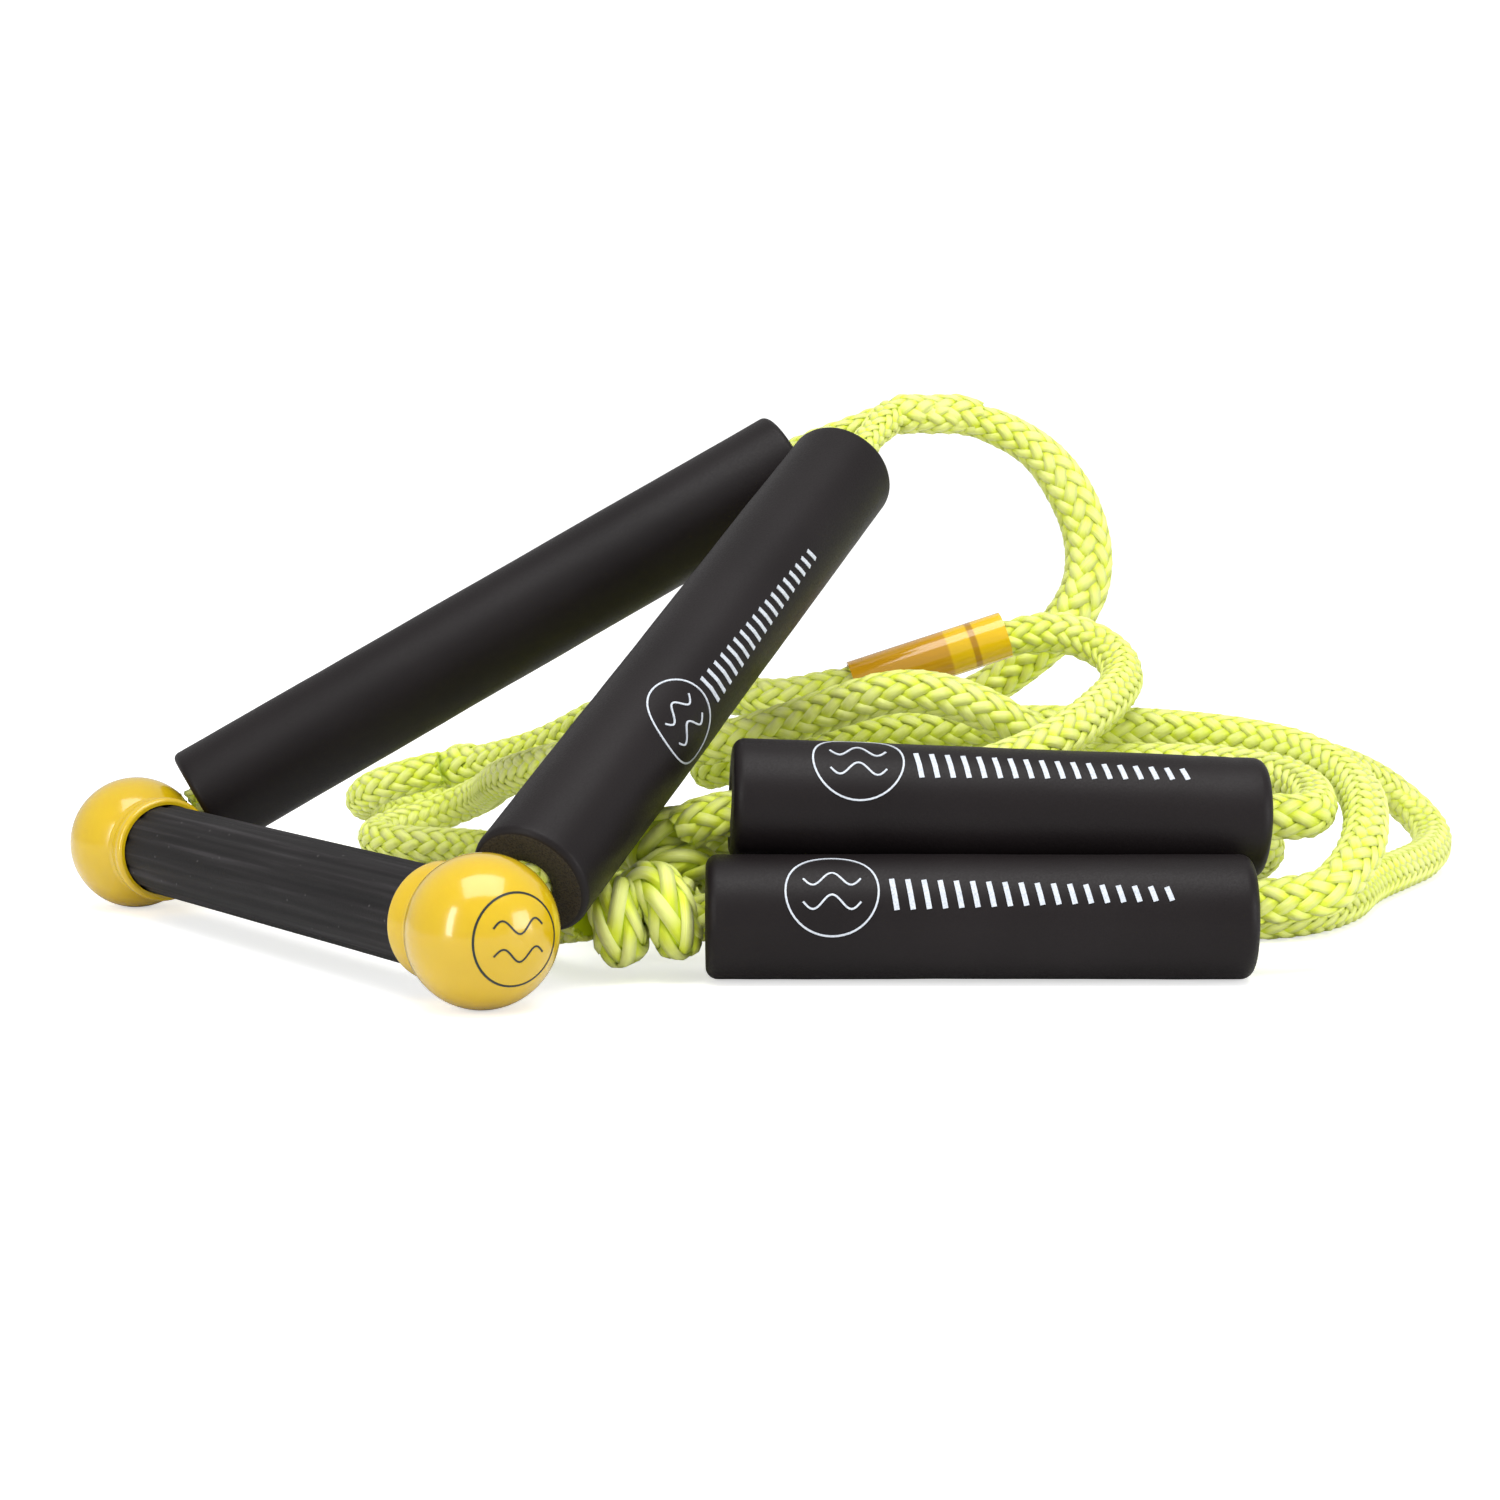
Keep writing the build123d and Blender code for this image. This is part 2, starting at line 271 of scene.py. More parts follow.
def makeCapMaterial():
    # glossy moulded plastic
    material, tree, shader = newMaterial("yellowCap", Roughness=0.2)
    shader.inputs["Coat Weight"].default_value = 0.6
    shader.inputs["Coat Roughness"].default_value = 0.06
    shader.inputs["Subsurface Weight"].default_value = 0.15
    shader.inputs["Subsurface Radius"].default_value = (0.006, 0.004, 0.001)
    shader.inputs["Subsurface Scale"].default_value = 0.5
    grain = addGrain(tree, 260, 22, 0.08, 0.0003)
    colour = addRamp(tree, grain.outputs["Blotch"],
                     ((0.25, (0.59, 0.385, 0.001)), (0.8, (0.70, 0.475, 0.002))))
    rough = addNode(tree, "ShaderNodeMapRange", inputs={
        "Value": grain.outputs["Mask"], "From Min": 0.3, "From Max": 0.7, "To Min": 0.16, "To Max": 0.26})
    linkNodes(tree, (colour, shader.inputs["Base Color"]), (rough.outputs[0], shader.inputs["Roughness"]),
              (grain.outputs["Normal"], shader.inputs["Normal"]))
    return material


def makeGripMaterial():
    # black foam rubber with streaks along it and pale flecks
    material, tree, shader = newMaterial("gripFoam", Roughness=0.68)
    shader.inputs["Specular IOR Level"].default_value = 0.25
    grain = addGrain(tree, 1500, 30, 0.35, 0.0003)
    streaks = addGrain(tree, 420, 30, 0.5, 0.0004, stretch=(1, 0.025, 1))
    colour = addRamp(tree, streaks.outputs["Mask"], (
        (0.35, (0.005, 0.0042, 0.0045)), (0.55, (0.011, 0.0095, 0.01)), (0.72, (0.03, 0.027, 0.029))))
    place = addNode(tree, "ShaderNodeTexCoord")
    flecks = addNode(tree, "ShaderNodeTexVoronoi", inputs={"Vector": place.outputs["Object"], "Scale": 170.0})
    fleckMask = addNode(tree, "ShaderNodeMapRange", inputs={
        "Value": flecks.outputs["Distance"], "From Min": 0.045, "From Max": 0.09,
        "To Min": 0.6, "To Max": 0.0})
    mixed = addNode(tree, "ShaderNodeMix", data_type="RGBA", inputs={
        "Factor": fleckMask.outputs[0]})
    mixed.inputs[7].default_value = (0.1, 0.095, 0.095, 1)
    linkNodes(tree, (colour, mixed.inputs[6]), (mixed.outputs[2], shader.inputs["Base Color"]))
    bump = addNode(tree, "ShaderNodeBump", inputs={
        "Strength": 0.35, "Distance": 0.0003, "Height": streaks.outputs["Mask"],
        "Normal": grain.outputs["Normal"]})
    tree.links.new(bump.outputs["Normal"], shader.inputs["Normal"])
    return material


def makeSleeveMaterial():
    # clear amber plastic with two brighter printed bands near its upper end
    material, tree, shader = newMaterial("amberSleeve", Roughness=0.14)
    shader.inputs["Coat Weight"].default_value = 0.7
    shader.inputs["Coat Roughness"].default_value = 0.05
    start, end = sleeveRun
    run = (end - start).normalized()
    place = addNode(tree, "ShaderNodeTexCoord")
    moved = addNode(tree, "ShaderNodeVectorMath", operation="SUBTRACT",
                    inputs={0: place.outputs["Object"], 1: start})
    distance = addNode(tree, "ShaderNodeVectorMath", operation="DOT_PRODUCT",
                       inputs={0: moved.outputs[0], 1: run})
    amber, bright, dark = (0.70, 0.35, 0.010), (0.93, 0.58, 0.004), (0.55, 0.27, 0.008)
    spread = addNode(tree, "ShaderNodeMapRange", inputs={
        "Value": distance.outputs["Value"], "From Min": sleeveSpan[0], "From Max": sleeveSpan[1],
        "To Min": 0.0, "To Max": 1.0})
    colour = addRamp(tree, spread.outputs[0], (
        (0.0, bright), (0.19, bright), (0.2, dark), (0.23, dark), (0.24, bright), (0.37, bright),
        (0.385, amber), (0.9, amber)))
    grain = addGrain(tree, 300, 40, 0.06, 0.0003)
    linkNodes(tree, (colour, shader.inputs["Base Color"]), (grain.outputs["Normal"], shader.inputs["Normal"]))
    shader.inputs["Alpha"].default_value = 0.86
    return material


def makePlainMaterials():
    bar, tree, shader = newMaterial("barAluminium", Metallic=1.0, Roughness=0.35)
    grain = addGrain(tree, 500, 30, 0.2, 0.0002, stretch=(1, 0.05, 1))
    colour = addRamp(tree, grain.outputs["Mask"], ((0.3, (0.55, 0.56, 0.58)), (0.7, (0.72, 0.73, 0.75))))
    linkNodes(tree, (colour, shader.inputs["Base Color"]), (grain.outputs["Normal"], shader.inputs["Normal"]))
    ink, tree, shader = newMaterial("printInk", Roughness=0.55)
    grain = addGrain(tree, 1500, 60, 0.2, 0.0002)
    colour = addRamp(tree, grain.outputs["Mask"], ((0.3, (0.44, 0.48, 0.54)), (0.6, (0.62, 0.66, 0.72))))
    linkNodes(tree, (colour, shader.inputs["Base Color"]), (grain.outputs["Normal"], shader.inputs["Normal"]))
    darkInk, tree, shader = newMaterial("darkInk", Roughness=0.4)
    grain = addGrain(tree, 1500, 60, 0.1, 0.0002)
    colour = addRamp(tree, grain.outputs["Mask"],
                     ((0.3, (0.006, 0.012, 0.010)), (0.6, (0.012, 0.02, 0.017))))
    linkNodes(tree, (colour, shader.inputs["Base Color"]), (grain.outputs["Normal"], shader.inputs["Normal"]))
    return bar, ink, darkInk


# colours: painted gap shade, the rope's own colour, painted crown highlight
ropeMaterial = makeRopeMaterial("ropeBraid", (0.62, 0.77, 0.0), (0.76, 0.87, 0.03), (0.87, 0.93, 0.27))
foamMaterial = makeFoamMaterial("floatFoam", (0.0062, 0.0042, 0.0046), (0.0105, 0.0078, 0.0084))
cutFoamMaterial = makeCutFoamMaterial()
capMaterial = makeCapMaterial()
gripMaterial = makeGripMaterial()
sleeveMaterial = makeSleeveMaterial()
barMaterial, inkMaterial, darkInkMaterial = makePlainMaterials()
print("materials made")

# ---- braided rope, by geometry nodes
braid = {
    "ropeRadius": 0.008,
    "strandWidth": 0.0045,
    "strandThickness": 0.0019,
    "layLength": 0.076,
    "strandsEachWay": 10,   # an even number
    "step": 0.0023,
    "coreShare": 0.83,
}


def makeBraidTree():
    # strands wound both ways round a path, passing over and under each other, on a core
    tree = bpy.data.node_groups.new("ropeBraidTree", "GeometryNodeTree")
    face = tree.interface
    face.new_socket(name="Geometry", in_out="INPUT", socket_type="NodeSocketGeometry")
    for name in ("Rope radius", "Strand width", "Strand thickness", "Lay length", "Step", "Core share"):
        face.new_socket(name=name, in_out="INPUT", socket_type="NodeSocketFloat")
    face.new_socket(name="Strands each way", in_out="INPUT", socket_type="NodeSocketInt")
    face.new_socket(name="Rope material", in_out="INPUT", socket_type="NodeSocketMaterial")
    face.new_socket(name="Geometry", in_out="OUTPUT", socket_type="NodeSocketGeometry")
    given = tree.nodes.new("NodeGroupInput")
    result = tree.nodes.new("NodeGroupOutput")

    def sums(operation, first, second=0.0, third=0.0):
        return addNode(tree, "ShaderNodeMath", operation=operation,
                       inputs={0: first, 1: second, 2: third}).outputs[0]

    def vectors(operation, first, second):
        return addNode(tree, "ShaderNodeVectorMath", operation=operation, inputs={0: first, 1: second})

    def scaled(vector, amount):
        return addNode(tree, "ShaderNodeVectorMath", operation="SCALE",
                       inputs={0: vector, "Scale": amount}).outputs[0]

    girthIn = addNode(tree, "GeometryNodeInputNamedAttribute", data_type="FLOAT", inputs={"Name": "girth"})
    asCurve = addNode(tree, "GeometryNodeMeshToCurve", inputs={"Mesh": given.outputs["Geometry"]})
    even = addNode(tree, "GeometryNodeResampleCurve", mode="LENGTH", inputs={
        "Curve": asCurve.outputs[0], "Length": given.outputs["Step"]})
    kept = tree.nodes.new("GeometryNodeCaptureAttribute")
    for kind, name in (("FLOAT", "along"), ("VECTOR", "side"), ("VECTOR", "forward"), ("FLOAT", "girth")):
        kept.capture_items.new(kind, name)
    length = tree.nodes.new("GeometryNodeSplineParameter")
    linkNodes(tree, (even.outputs[0], kept.inputs[0]), (length.outputs["Length"], kept.inputs["along"]),
              (tree.nodes.new("GeometryNodeInputNormal").outputs["Normal"], kept.inputs["side"]),
              (tree.nodes.new("GeometryNodeInputTangent").outputs[0], kept.inputs["forward"]),
              (girthIn.outputs["Attribute"], kept.inputs["girth"]))
    along, side = kept.outputs["along"], kept.outputs["side"]
    forward, girth = kept.outputs["forward"], kept.outputs["girth"]
    count = given.outputs["Strands each way"]
    copies = addNode(tree, "GeometryNodeDuplicateElements", domain="SPLINE", inputs={
        "Geometry": kept.outputs[0], "Amount": sums("MULTIPLY", count, 2.0)})
    index = copies.outputs["Duplicate Index"]
    way = sums("MULTIPLY_ADD", sums("MODULO", index, 2.0), 2.0, -1.0)
    number = sums("FLOOR", sums("DIVIDE", index, 2.0))
    turns = sums("DIVIDE", along, given.outputs["Lay length"])
    turned = sums("ADD", sums("MULTIPLY", way, turns), sums("DIVIDE", number, count))
    angle = sums("MULTIPLY", turned, math.tau)
    # over two and under two, so the strands stand in rows of chevrons
    phase = sums("MULTIPLY_ADD", angle, sums("MULTIPLY", count, 0.5), -math.pi / 4)
    wave = sums("MULTIPLY", way, sums("COSINE", phase))
    other = vectors("CROSS_PRODUCT", forward, side).outputs[0]
    outward = vectors("ADD", scaled(side, sums("COSINE", angle)),
                      scaled(other, sums("SINE", angle))).outputs[0]
    middle = sums("SUBTRACT", sums("MULTIPLY", given.outputs["Rope radius"], girth),
                  sums("MULTIPLY", given.outputs["Strand thickness"], 0.75))
    lift = sums("MULTIPLY", sums("MULTIPLY", wave, given.outputs["Strand thickness"]), 0.36)
    moved = addNode(tree, "GeometryNodeSetPosition", inputs={
        "Geometry": copies.outputs[0], "Offset": scaled(outward, sums("ADD", middle, lift))})
    faced = addNode(tree, "GeometryNodeSetCurveNormal", mode="FREE", inputs={
        "Curve": moved.outputs[0], "Normal": outward})

    def stored(geometry, name, value):
        return addNode(tree, "GeometryNodeStoreNamedAttribute", data_type="FLOAT", domain="POINT",
                       inputs={"Geometry": geometry, "Name": name, "Value": value})

    # over also sets the rope's painted crown highlight and painted gap shade
    overStored = stored(faced.outputs[0], "over", sums("MULTIPLY_ADD", wave, 0.5, 0.5))
    alongStored = stored(overStored.outputs[0], "along", sums("ADD", along, sums("MULTIPLY", index, 0.37)))
    profile = addNode(tree, "GeometryNodeCurvePrimitiveCircle", inputs={"Resolution": 5, "Radius": 1.0})
    acrossStored = stored(profile.outputs[0], "across",
                          tree.nodes.new("GeometryNodeSplineParameter").outputs["Factor"])
    size = addNode(tree, "ShaderNodeCombineXYZ", inputs={
        "X": sums("MULTIPLY", given.outputs["Strand thickness"], 0.5),
        "Y": sums("MULTIPLY", given.outputs["Strand width"], 0.5), "Z": 1.0})
    flat = addNode(tree, "GeometryNodeTransform", inputs={
        "Geometry": acrossStored.outputs[0], "Scale": size.outputs[0]})
    strands = addNode(tree, "GeometryNodeCurveToMesh", inputs={
        "Curve": alongStored.outputs[0], "Profile Curve": flat.outputs[0], "Fill Caps": True,
        "Scale": girth})
    coreRound = addNode(tree, "GeometryNodeCurvePrimitiveCircle", inputs={"Resolution": 10})
    tree.links.new(sums("MULTIPLY", given.outputs["Rope radius"], given.outputs["Core share"]),
                   coreRound.inputs["Radius"])
    core = addNode(tree, "GeometryNodeCurveToMesh", inputs={
        "Curve": kept.outputs[0], "Profile Curve": coreRound.outputs[0], "Fill Caps": True,
        "Scale": girth})
    both = tree.nodes.new("GeometryNodeJoinGeometry")
    linkNodes(tree, (core.outputs[0], both.inputs[0]), (strands.outputs[0], both.inputs[0]))
    smooth = addNode(tree, "GeometryNodeSetShadeSmooth", inputs={"Geometry": both.outputs[0]})
    real = addNode(tree, "GeometryNodeRealizeInstances", inputs={"Geometry": smooth.outputs[0]})
    painted = addNode(tree, "GeometryNodeSetMaterial", inputs={
        "Geometry": real.outputs[0], "Material": given.outputs["Rope material"]})
    tree.links.new(painted.outputs[0], result.inputs[0])
    return tree


braidTree = makeBraidTree()


def socketIdentifier(tree, name):
    return next(item.identifier for item in tree.interface.items_tree
                if item.item_type == "SOCKET" and item.in_out == "INPUT" and item.name == name)


def linkPiece(name, mesh):
    piece = bpy.data.objects.new(name, mesh)
    bpy.context.collection.objects.link(piece)
    return piece


def plainMesh(piece):
    # the modifiers' result as the piece's own mesh
    depsgraph = bpy.context.evaluated_depsgraph_get()
    finished = bpy.data.meshes.new_from_object(piece.evaluated_get(depsgraph), depsgraph=depsgraph)
    piece.modifiers.clear()
    piece.data = finished
    return piece


def braidAlong(name, path, girth=None, **changes):
    # a braided rope along a path; girth is its thickness at each point, as a share of the rope's
    settings = {**braid, **changes}
    line = bpy.data.meshes.new(name)
    line.from_pydata(path, [(i, i + 1) for i in range(len(path) - 1)], [])
    sizes = line.attributes.new("girth", "FLOAT", "POINT")
    sizes.data.foreach_set("value", girth or [1.0] * len(path))
    piece = linkPiece(name, line)
    modifier = piece.modifiers.new("braid", "NODES")
    modifier.node_group = braidTree
    for label, value in (("Rope radius", settings["ropeRadius"]), ("Strand width", settings["strandWidth"]),
                         ("Strand thickness", settings["strandThickness"]),
                         ("Lay length", settings["layLength"]), ("Step", settings["step"]),
                         ("Core share", settings["coreShare"]),
                         ("Strands each way", settings["strandsEachWay"]), ("Rope material", ropeMaterial)):
        modifier[socketIdentifier(braidTree, label)] = value
    plainMesh(piece)
    print("  ", name, len(piece.data.polygons), "faces")
    return piece


def girthAlong(path, stops):
    # thickness at each point, from (distance, share) stops, with smooth steps between
    sizes, travelled = [], 0.0
    for i, point in enumerate(path):
        travelled += (point - path[i - 1]).length if i else 0.0
        share = stops[-1][1]
        for (d0, s0), (d1, s1) in zip(stops, stops[1:]):
            if d0 <= travelled < d1:
                f = (travelled - d0) / (d1 - d0)
                share = s0 + (s1 - s0) * f * f * (3 - 2 * f)
                break
        sizes.append(share)
    return sizes


# ---- the cords
knots = {
    "knotLowerWrap": {"centre": (-.0768, -.1122, .0218), "axis": (13, -9.3, 2.2), "turnRadius": 0.0084,
                      "lobe": 0.0095, "ropeRadius": 0.0088},
    "knotUpperWrap": {"centre": (-.0510, -.0885, .0350), "axis": (0.1, 0.6, 0.8), "turnRadius": 0.0078,
                      "lobe": 0.0076, "ropeRadius": 0.0080},
}
knotBraid = {"step": 0.0013, "layLength": 0.085, "strandWidth": 0.0054, "strandThickness": 0.0024,
             "strandsEachWay": 8}


def makeKnot(name, turns=2.1, count=70):
    # the rope wound in a tight double turn that stands as two lobes
    k = knots[name]
    axis = Vector(k["axis"]).normalized()
    side = axis.orthogonal().normalized()
    other = axis.cross(side)
    path = []
    for i in range(count + 1):
        f = i / count
        angle = math.tau * turns * f
        radius = k["turnRadius"] * min(1.0, 6 * f + 0.25, 6 * (1 - f) + 0.25)   # drawn in at both ends
        lift = k["lobe"] * math.tanh((f - 0.5) * 9)
        path.append(Vector(k["centre"]) + side * radius * math.cos(angle) + other * radius * math.sin(angle)
                    + axis * lift)
    return braidAlong(name, path, ropeRadius=k["ropeRadius"], **knotBraid)


apexPath = smoothPath(apexToLowerKnot)
middlePath = smoothPath(lowerToUpperKnot)
boatPath = smoothPath(upperKnotToEye)
eyePath = smoothPath(eyeLoop)
apexRun = braidAlong("ropeApexRun", apexPath, girthAlong(apexPath, (
    (0, 0.78), (0.018, 0.92), (0.032, 0.82), (0.05, 0.94), (0.09, 1.16), (0.13, 1.2), (0.18, 1.0),
    (2, 1.0))))
middleRun = braidAlong("ropeMiddleRun", middlePath)
sleeveGrip = {"first": 0.004, "last": 0.086, "fade": 0.008, "share": 0.12, "near": 0.006}


def squeezedInSleeve(path, g):
    # a little thinner inside the sleeve, so that its strands stay in
    start = sleeveRun[0]
    run = (sleeveRun[1] - start).normalized()
    sizes = []
    for point in path:
        reach = (point - start).dot(run)
        away = (point - start - run * reach).length
        inside = (min(1.0, max(0.0, (reach - g["first"]) / g["fade"]))
                  * min(1.0, max(0.0, (g["last"] - reach) / g["fade"])))
        sizes.append(1 - g["share"] * inside if away < g["near"] else 1.0)
    return sizes


boatRun = braidAlong("ropeBoatRun", boatPath, squeezedInSleeve(boatPath, sleeveGrip))
eyeRope = braidAlong("towEyeRope", eyePath)
knotLower = makeKnot("knotLowerWrap")
knotUpper = makeKnot("knotUpperWrap")
eyeSplicePath = [Vector(upperKnotToEye[-2]).lerp(Vector(upperKnotToEye[-1]), f)
                 for f in (0.45, 0.6, 0.8, 1.0, 1.27)]
eyeSplice = braidAlong("eyeSpliceBraid", eyeSplicePath, [0.95, 1.15, 1.25, 1.28, 1.2], step=0.0012)
for piece, nodes in (
        (apexRun, ("rope_arch", "rope_right_bend", "rope_in_lower_float")),
        (middleRun, ("rope_left_bight", "rope_front_pass", "rope_back_pass")),
        (boatRun, ("rope_in_upper_float", "rope_upper_bend", "rope_outer_loop", "rope_hidden_turn",
                   "rope_sleeve_loop", "rope_in_sleeve", "rope_tail")),
        (eyeRope, ("tow_eye",)), (knotLower, ("knot_lower",)), (knotUpper, ("knot_upper",)),
        (eyeSplice, ("eye_splice",))):
    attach(piece, "rope")
    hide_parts(*nodes)
print("tow line made")


# ---- floats
def framed(axis):
    # two directions square to an axis, the first as near straight up as it can be
    up = (Vector((0, 0, 1)) - axis * axis.z).normalized()
    return up, axis.cross(up)


floatShape = {
    "around": 96,
    "rowLength": 0.0035,
    "rimSteps": 6,
    "broadDent": 0.00022,
    "fineDent": 0.00007,
    "allOverDent": 0.0001,
    "dishedEnd": 0.0004,
}


def makeFloat(name, low, axis, length, seed, rounding, creases=()):
    # a foam tube with rounded rims, slightly dented; creases are (distance along, angle, width, depth)
    up, side = framed(axis)
    steps = floatShape["rimSteps"]
    rim = []
    for i in range(steps + 1):
        a = math.pi / 2 * i / steps
        rim.append((rounding * (1 - math.sin(a)), floatRadius - rounding * (1 - math.cos(a))))
    outline = [(0.0, floatBore), (0.0, 0.0120), (0.0, 0.0148)] + list(reversed(rim))
    rows = int(length / floatShape["rowLength"])
    outline += [(rounding + (length - 2 * rounding) * i / rows, floatRadius) for i in range(1, rows)]
    outline += [(length - s, r) for s, r in reversed(outline[:3 + steps + 1])]
    outline += [(length * f, floatBore) for f in (0.8, 0.6, 0.4, 0.2)]
    around, mesh = floatShape["around"], bmesh.new()
    rings = []
    for s, r in outline:
        ring = []
        for j in range(around):
            a = math.tau * j / around
            direction = up * math.cos(a) + side * math.sin(a)
            dent = 0.0
            if r > floatBore + 0.001:
                broad = Vector((math.cos(a) * 1.2 + seed * 7.1, math.sin(a) * 1.2, s * 22))
                dent = floatShape["broadDent"] * noise.noise(broad) * (r / floatRadius)
                fine = Vector((math.cos(a) * 3 + seed * 3.3, math.sin(a) * 3, s * 90))
                dent += floatShape["fineDent"] * noise.noise(fine)
                for centre, around0, wide, deep in creases:
                    turn = abs((a - around0 + math.pi) % math.tau - math.pi)
                    if turn < 1.0:
                        dent -= deep * math.exp(-((s - centre) / wide) ** 2) * (1 - turn) ** 2
                dent -= floatShape["allOverDent"]
            onEnd = floatBore < r < 0.017
            inward = floatShape["dishedEnd"] * math.exp(-min(s, length - s) / 0.002) if onEnd else 0.0
            shift = inward if s < length / 2 else -inward
            place = low + axis * (s + shift) + direction * (r + dent)
            ring.append(mesh.verts.new(place))
        rings.append(ring)
    for ring, after in zip(rings, rings[1:] + rings[:1]):
        for j in range(around):
            k = (j + 1) % around
            mesh.faces.new((ring[j], ring[k], after[k], after[j]))
    bmesh.ops.recalc_face_normals(mesh, faces=mesh.faces)
    data = bpy.data.meshes.new(name)
    data.materials.append(foamMaterial)
    data.materials.append(cutFoamMaterial)
    for face in mesh.faces:
        face.smooth = True
        reach = face.calc_center_median() - low
        s = reach.dot(axis)
        r = (reach - axis * s).length
        if r < floatRadius - rounding + 0.0004 and (s < 0.002 or s > length - 0.002) or r < 0.011:
            face.material_index = 1
    mesh.to_mesh(data)
    mesh.free()
    return linkPiece(name, data)


def printStrokes(name, strokes, width, onSurface, proud, sunk, ink):
    # raised lines of ink on a surface; a stroke is closed when it ends as it starts
    mesh = bmesh.new()
    for stroke in strokes:
        closed = stroke[0] == stroke[-1]
        points = [Vector(p) for p in (stroke[:-1] if closed else stroke)]
        count = len(points)
        corners = []
        for i, point in enumerate(points):
            before = points[(i - 1) % count] if closed or i else point
            after = points[(i + 1) % count] if closed or i < count - 1 else point
            going = (after - before).normalized()
            normal = Vector((-going.y, going.x)) * width / 2
            corners.append([mesh.verts.new(onSurface(*(point + normal * sign), height))
                            for sign, height in ((1, proud), (-1, proud), (-1, -sunk), (1, -sunk))])
        for i in range(count if closed else count - 1):
            here, there = corners[i], corners[(i + 1) % count]
            for j in range(4):
                k = (j + 1) % 4
                mesh.faces.new((here[j], here[k], there[k], there[j]))
        if not closed:
            mesh.faces.new(corners[0])
            mesh.faces.new(tuple(reversed(corners[-1])))
    bmesh.ops.recalc_face_normals(mesh, faces=mesh.faces)
    data = bpy.data.meshes.new(name)
    mesh.to_mesh(data)
    mesh.free()
    data.materials.append(ink)
    return linkPiece(name, data)


def ringStroke(s, t, radius, count=48):
    ring = [(s + radius * math.cos(math.tau * i / count), t + radius * math.sin(math.tau * i / count))
            for i in range(count)]
    return ring + ring[:1]


def waveStroke(s, t, reach, height, waves=1.5):
    return [(s + reach * (2 * i / 24 - 1), t + height * math.sin(math.tau * waves * i / 24))
            for i in range(25)]


floatPrint = {
    "ringRadius": 0.0150,
    "line": 0.00062,
    "proud": 0.00016,
    "sunk": 0.0006,
    "bars": 18,
    "barGap": 0.0052,
    "barHeight": 0.0108,
    "barWidth": 0.0017,
    "barTurn": 3,       # degrees further round than the ring
}


def makeFloatPrint(name, low, axis, start, facing):
    # a plain ring with two waves, then a row of bars that grow shorter;
    # strokes are (distance along the float, distance round it)
    p = floatPrint
    r = p["ringRadius"]
    up, side = framed(axis)

    def onFloat(turn):
        def place(s, t, height):
            a = math.radians(turn) + t / floatRadius
            return low + axis * s + (up * math.cos(a) + side * math.sin(a)) * (floatRadius + height)
        return place

    line = [ringStroke(start, 0.0, r), waveStroke(start, r * 0.25, r * 0.62, r * 0.16),
            waveStroke(start, -r * 0.3, r * 0.62, r * 0.16)]
    marks = [printStrokes(name + "Ring", line, p["line"], onFloat(facing),
                          p["proud"], p["sunk"], inkMaterial)]
    bars = []
    for i in range(p["bars"]):
        s = start + r + 0.005 + i * p["barGap"]
        tall = p["barHeight"] / 2 * (1 - 0.6 * i / p["bars"])
        bars.append([(s - 0.0008, -tall), (s, 0.0), (s + 0.0008, tall)])
    marks.append(printStrokes(name + "Bars", bars, p["barWidth"], onFloat(facing + p["barTurn"]),
                              p["proud"], p["sunk"], inkMaterial))
    return marks


lowerAxis = (Vector(apexToLowerKnot[-2]) - Vector(apexToLowerKnot[-1])).normalized()
lowerLeft = Vector(apexToLowerKnot[-2]) - lowerAxis * (lineFloatLength + 0.0158)
upperAxis = (Vector(upperKnotToEye[2]) - Vector(upperKnotToEye[1])).normalized()
upperLeft = Vector(upperKnotToEye[1]) + upperAxis * 0.007
creases = ((0.155, 0.3, 0.0016, 0.0006), (0.161, 0.6, 0.0014, 0.0005), (0.167, 0.2, 0.0015, 0.0006))
floats = {
    "float_near": {"node": "bridle_float_near", "low": nearLow, "axis": nearAxis,
                   "length": bridleFloatLength, "rounding": 0.0026, "seed": 1,
                   "print": (0.084, 68)},       # distance along, degrees round from the top
    "float_far": {"node": "bridle_float_far", "low": farLow, "axis": farAxis,
                  "length": bridleFloatLength, "rounding": 0.0026, "seed": 2},
    "float_lower": {"node": "line_float_lower", "low": lowerLeft, "axis": lowerAxis,
                    "length": lineFloatLength, "rounding": 0.0042, "seed": 3, "print": (0.041, 57)},
    "float_upper": {"node": "line_float_upper", "low": upperLeft, "axis": upperAxis,
                    "length": lineFloatLength, "rounding": 0.0042, "seed": 4, "print": (0.041, 38),
                    "creases": creases},
}
for body, f in floats.items():
    label = body.replace("_", "")
    piece = makeFloat(label + "Foam", f["low"], f["axis"], f["length"], f["seed"], f["rounding"],
                      f.get("creases", ()))
    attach(piece, body)
    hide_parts(f["node"])
    if "print" in f:
        for printed in makeFloatPrint(label + "Print", f["low"], f["axis"], *f["print"]):
            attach(printed, body)
print("floats made")

# ---- bridle legs, splice and the rope through the bar
nearOut, farOut = (nearLow - nearBall).normalized(), (farLow - farBall).normalized()
nearUp, farUp = nearLow + nearAxis * 0.292, farLow + farAxis * 0.286
legNearPath = smoothPath([nearBall + nearOut * 0.0249, nearLow, nearLow + nearAxis * 0.06,
                          nearLow + nearAxis * 0.22, nearUp, crotch])
legFarPath = smoothPath([farBall + farOut * 0.0255, farLow, farLow + farAxis * 0.06,
                         farLow + farAxis * 0.22, farUp, crotch])
legNear = braidAlong("bridleLegNear", legNearPath, girthAlong(legNearPath, (
    (0, 1), (0.275, 1), (0.29, 0.8), (0.302, 0.74), (0.315, 0.86), (0.4, 0.8))), step=0.0018)
legFar = braidAlong("bridleLegFar", legFarPath, girthAlong(legFarPath, (
    (0, 0.86), (0.008, 0.95), (0.02, 1), (0.27, 1), (0.3, 0.76), (0.4, 0.8))), step=0.0018)
